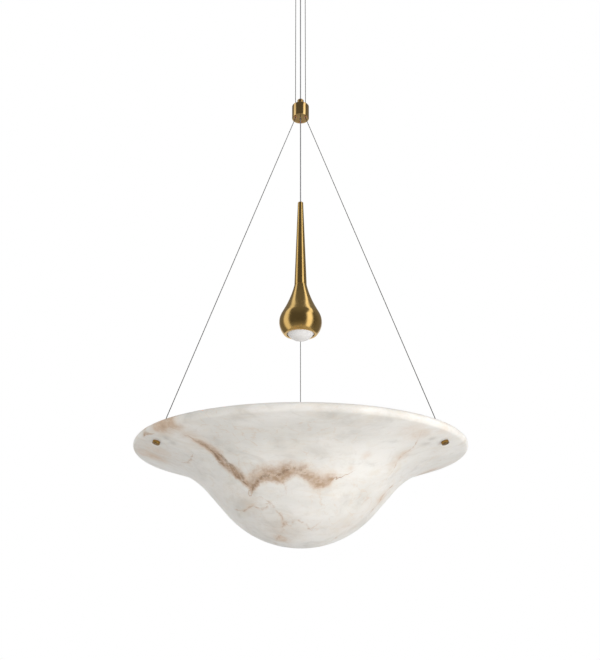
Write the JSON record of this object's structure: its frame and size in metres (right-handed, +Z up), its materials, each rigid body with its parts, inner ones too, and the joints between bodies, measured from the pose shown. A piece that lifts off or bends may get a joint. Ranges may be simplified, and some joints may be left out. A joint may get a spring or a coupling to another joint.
{
  "type": "pendant light",
  "caption": "Ceiling pendant: a translucent stone-look acrylic bowl on three wires from a brass hub, with a brass teardrop lamp hanging over it and a round ceiling cover.",
  "frame": {"origin": "centre of the ceiling plate's top face, midway between the two ceiling screws", "axes": "+Z up to the ceiling; the light hangs down along -Z; -Y is the front, where the picture was taken from, and the third wire is at the back, towards +Y"},
  "size_m": [0.5999, 0.6, 1.328],
  "materials": {
    "brushed_brass": "satin brushed brass, lightly lacquered",
    "stone_acrylic": "polished translucent acrylic with grey clouds and tan veins",
    "wire_steel": "stranded stainless wire rope",
    "plated_steel": "bright zinc plate",
    "heat_sink_aluminium": "turned, natural",
    "frosted_lens": "frosted diffuser",
    "clear_bush": "natural nylon",
    "white_plastic": "moulded, matt",
    "grey_sheath": "smooth flexible grey sheath",
    "lead_sheath": "smooth insulation",
    "rubber": "matt",
    "led_phosphor": "silicone over phosphor"
  },
  "bodies": {
    "ceiling_mount": {"ceiling_plate": "plated_steel", "swivel_bridge": "plated_steel", "bridge_screws": "plated_steel", "swivel_socket": "plated_steel", "led_driver": "white_plastic", "driver_screws": "plated_steel", "terminal_block": "white_plastic", "terminal_screws": "brushed_brass", "earth_screw": "brushed_brass", "cover_clips": "plated_steel", "mains_leads": "lead_sheath", "driver_lead": "grey_sheath"},
    "canopy": {"canopy_cover": "brushed_brass"},
    "swivel_seat": {"swivel_seat": "white_plastic"},
    "suspension": {"swivel_ball": "plated_steel", "canopy_boss": "brushed_brass", "boss_set_screw": "plated_steel", "wire_top_crimps": "wire_steel", "wire_left": "wire_steel", "wire_right": "wire_steel", "wire_back": "wire_steel", "main_cord": "grey_sheath", "hub": "brushed_brass", "gripper_cages": "plated_steel", "release_spring_left": "plated_steel", "release_spring_right": "plated_steel", "release_spring_back": "plated_steel", "gland_body": "brushed_brass", "gland_sleeve": "clear_bush", "bowl": "stone_acrylic", "rim_bushes": "clear_bush", "rim_stops": "brushed_brass", "wire_end_crimps": "wire_steel", "stop_screws": "brushed_brass"},
    "release_left": {"release_nose_left": "brushed_brass"},
    "release_right": {"release_nose_right": "brushed_brass"},
    "release_back": {"release_nose_back": "brushed_brass"},
    "gland_nut": {"gland_nut": "brushed_brass"},
    "cord_bead": {"cord_bead": "white_plastic"},
    "lamp": {"lamp_cord": "grey_sheath", "cord_crimp": "brushed_brass", "stem_bush": "rubber", "lamp_stem": "brushed_brass", "stem_nipple": "plated_steel", "led_leads": "lead_sheath", "heat_sink": "heat_sink_aluminium", "led_board": "white_plastic", "led_chip": "led_phosphor", "board_screws": "plated_steel", "reflector": "white_plastic"},
    "lamp_shell": {"lamp_shell": "brushed_brass", "lens_gasket": "rubber", "lens": "frosted_lens", "lens_retainer": "plated_steel"}
  },
  "joints": [
    {"name": "canopy_slide", "type": "slide", "parent": "ceiling_mount", "child": "canopy", "axis": [0, 0, -1], "range_m": [0, 0.04]},
    {"name": "pendant_swing_x", "type": "hinge", "parent": "ceiling_mount", "child": "swivel_seat", "pos_m": [0, 0, -0.027], "axis": [1, 0, 0], "range_deg": [-6, 6]},
    {"name": "pendant_swing_y", "type": "hinge", "parent": "swivel_seat", "child": "suspension", "pos_m": [0, 0, -0.027], "axis": [0, 1, 0], "range_deg": [-6, 6]},
    {"name": "lamp_swing_x", "type": "hinge", "parent": "suspension", "child": "cord_bead", "pos_m": [0, 0, -0.428], "axis": [1, 0, 0], "range_deg": [-8, 8]},
    {"name": "lamp_swing_y", "type": "hinge", "parent": "cord_bead", "child": "lamp", "pos_m": [0, 0, -0.428], "axis": [0, 1, 0], "range_deg": [-8, 8]},
    {"name": "shell_turn", "type": "hinge", "parent": "lamp", "child": "lamp_shell", "pos_m": [0, 0, -0.824], "axis": [0, 0, 1], "range_deg": [0, 360]},
    {"name": "gland_nut_turn", "type": "hinge", "parent": "suspension", "child": "gland_nut", "pos_m": [0, 0, -0.39], "axis": [0, 0, 1], "range_deg": [0, 360]},
    {"name": "release_left_press", "type": "slide", "parent": "suspension", "child": "release_left", "axis": [0, 0, 1], "range_m": [0, 0.002], "stiffness_N_per_m": 2000, "deforming": ["release_spring_left"]},
    {"name": "release_right_press", "type": "slide", "parent": "suspension", "child": "release_right", "axis": [0, 0, 1], "range_m": [0, 0.002], "stiffness_N_per_m": 2000, "deforming": ["release_spring_right"]},
    {"name": "release_back_press", "type": "slide", "parent": "suspension", "child": "release_back", "axis": [0, 0, 1], "range_m": [0, 0.002], "stiffness_N_per_m": 2000, "deforming": ["release_spring_back"]}
  ]
}
